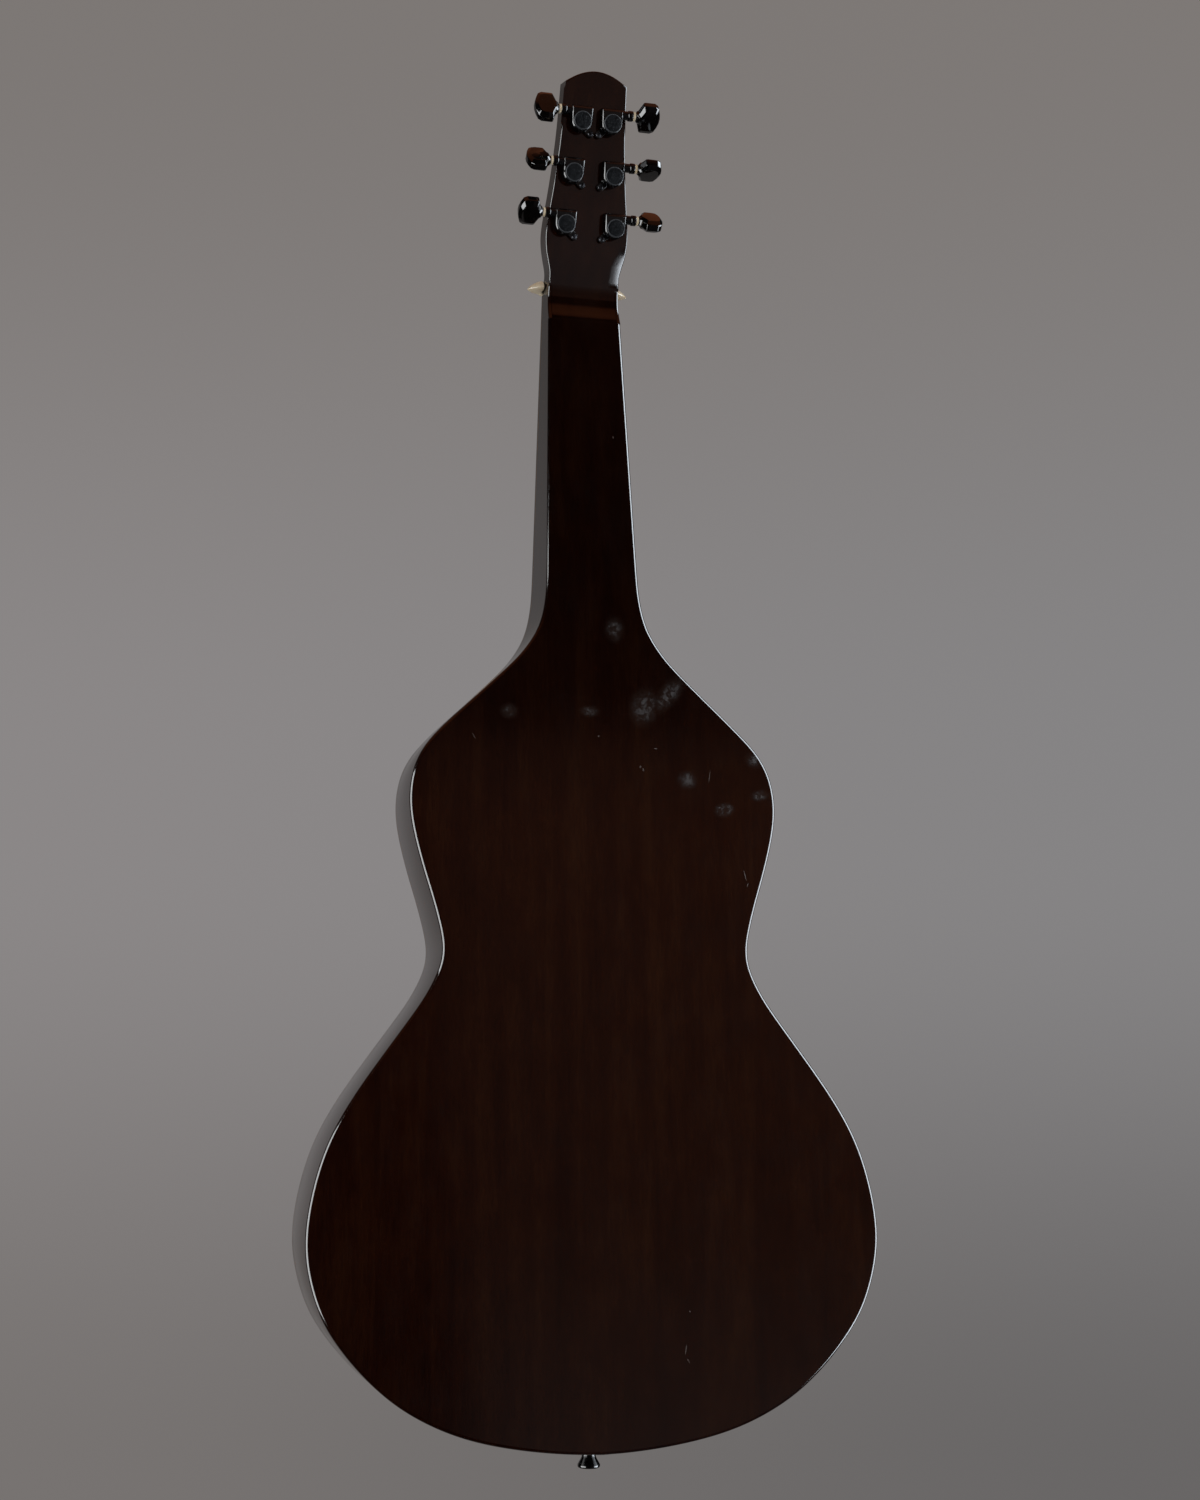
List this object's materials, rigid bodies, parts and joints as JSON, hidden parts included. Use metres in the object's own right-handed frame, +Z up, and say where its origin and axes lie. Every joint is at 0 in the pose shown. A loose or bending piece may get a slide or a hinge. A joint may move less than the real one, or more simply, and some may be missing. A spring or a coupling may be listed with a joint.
{
  "type": "lap steel guitar",
  "caption": "Acoustic lap steel guitar with a hollow square neck, an hourglass body with a flat tapered back, an arched headstock with sealed tuners and a horned nut.",
  "frame": {"origin": "the point midway between the collars of the two top tuners, where the guitar hangs", "axes": "+X towards the thick strings, +Y out of the soundboard towards the strings, +Z up the neck, from the tail to the headstock"},
  "size_m": [0.3836, 0.0952, 0.9599],
  "materials": {
    "stained_wood": "satin lacquer",
    "bare_spruce": "satin",
    "dark_fretwood": "satin",
    "cream_bone": "polished",
    "black_metal": "gloss",
    "black_plastic": "gloss",
    "bright_steel": "bright"
  },
  "bodies": {
    "guitar": {"soundboard": "bare_spruce", "back_plate": "stained_wood", "left_side": "stained_wood", "right_side": "stained_wood", "tail_block": "bare_spruce", "headstock": "stained_wood", "fretboard": "dark_fretwood", "nut": "cream_bone", "bridge": "dark_fretwood", "saddle": "cream_bone", "strap_button": "black_metal", "strap_screw": "bright_steel", "bridge_plate": "bare_spruce", "x_brace_bass": "bare_spruce", "x_brace_treble": "bare_spruce", "back_brace_lower": "bare_spruce", "back_brace_upper": "bare_spruce", "bridge_pin_1": "cream_bone", "bridge_pin_2": "cream_bone", "bridge_pin_3": "cream_bone", "bridge_pin_4": "cream_bone", "bridge_pin_5": "cream_bone", "bridge_pin_6": "cream_bone", "string_1": "bright_steel", "string_2": "bright_steel", "string_3": "bright_steel", "string_4": "bright_steel", "string_5": "bright_steel", "string_6": "bright_steel", "tuner_housing_1": "black_metal", "tuner_housing_2": "black_metal", "tuner_housing_3": "black_metal", "tuner_housing_4": "black_metal", "tuner_housing_5": "black_metal", "tuner_housing_6": "black_metal", "ferrule_1": "black_metal", "ferrule_2": "black_metal", "ferrule_3": "black_metal", "ferrule_4": "black_metal", "ferrule_5": "black_metal", "ferrule_6": "black_metal"},
    "tuner_shaft_1": {"worm_shaft_1": "bright_steel", "tuner_button_1": "black_plastic"},
    "post_1": {"string_post_1": "bright_steel"},
    "tuner_shaft_2": {"worm_shaft_2": "bright_steel", "tuner_button_2": "black_plastic"},
    "post_2": {"string_post_2": "bright_steel"},
    "tuner_shaft_3": {"worm_shaft_3": "bright_steel", "tuner_button_3": "black_plastic"},
    "post_3": {"string_post_3": "bright_steel"},
    "tuner_shaft_4": {"worm_shaft_4": "bright_steel", "tuner_button_4": "black_plastic"},
    "post_4": {"string_post_4": "bright_steel"},
    "tuner_shaft_5": {"worm_shaft_5": "bright_steel", "tuner_button_5": "black_plastic"},
    "post_5": {"string_post_5": "bright_steel"},
    "tuner_shaft_6": {"worm_shaft_6": "bright_steel", "tuner_button_6": "black_plastic"},
    "post_6": {"string_post_6": "bright_steel"}
  },
  "joints": [
    {"name": "tuner_1_turn", "type": "hinge", "parent": "guitar", "child": "tuner_shaft_1", "pos_m": [-0.018, 0.01863, -0.06955], "axis": [1, 0, 0], "continuous": true},
    {"name": "post_1_turn", "type": "hinge", "parent": "guitar", "child": "post_1", "pos_m": [-0.018, 0.02692, -0.07457], "axis": [0, -0.9659, -0.2588], "continuous": true},
    {"name": "tuner_2_turn", "type": "hinge", "parent": "guitar", "child": "tuner_shaft_2", "pos_m": [-0.0146, 0.00932, -0.03477], "axis": [1, 0, 0], "continuous": true},
    {"name": "post_2_turn", "type": "hinge", "parent": "guitar", "child": "post_2", "pos_m": [-0.0146, 0.0176, -0.0398], "axis": [0, -0.9659, -0.2588], "continuous": true},
    {"name": "tuner_3_turn", "type": "hinge", "parent": "guitar", "child": "tuner_shaft_3", "pos_m": [-0.0109, 0, 0], "axis": [1, 0, 0], "continuous": true},
    {"name": "post_3_turn", "type": "hinge", "parent": "guitar", "child": "post_3", "pos_m": [-0.0109, 0.00828, -0.00503], "axis": [0, -0.9659, -0.2588], "continuous": true},
    {"name": "tuner_4_turn", "type": "hinge", "parent": "guitar", "child": "tuner_shaft_4", "pos_m": [0.0109, 0, 0], "axis": [1, 0, 0], "continuous": true},
    {"name": "post_4_turn", "type": "hinge", "parent": "guitar", "child": "post_4", "pos_m": [0.0109, 0.00828, -0.00503], "axis": [0, -0.9659, -0.2588], "continuous": true},
    {"name": "tuner_5_turn", "type": "hinge", "parent": "guitar", "child": "tuner_shaft_5", "pos_m": [0.0146, 0.00932, -0.03477], "axis": [1, 0, 0], "continuous": true},
    {"name": "post_5_turn", "type": "hinge", "parent": "guitar", "child": "post_5", "pos_m": [0.0146, 0.0176, -0.0398], "axis": [0, -0.9659, -0.2588], "continuous": true},
    {"name": "tuner_6_turn", "type": "hinge", "parent": "guitar", "child": "tuner_shaft_6", "pos_m": [0.018, 0.01863, -0.06955], "axis": [1, 0, 0], "continuous": true},
    {"name": "post_6_turn", "type": "hinge", "parent": "guitar", "child": "post_6", "pos_m": [0.018, 0.02692, -0.07457], "axis": [0, -0.9659, -0.2588], "continuous": true}
  ],
  "couplings": [
    {"joint": "post_1_turn", "follows": "tuner_1_turn", "ratio": 0.071429},
    {"joint": "post_2_turn", "follows": "tuner_2_turn", "ratio": 0.071429},
    {"joint": "post_3_turn", "follows": "tuner_3_turn", "ratio": 0.071429},
    {"joint": "post_4_turn", "follows": "tuner_4_turn", "ratio": 0.071429},
    {"joint": "post_5_turn", "follows": "tuner_5_turn", "ratio": 0.071429},
    {"joint": "post_6_turn", "follows": "tuner_6_turn", "ratio": 0.071429}
  ]
}
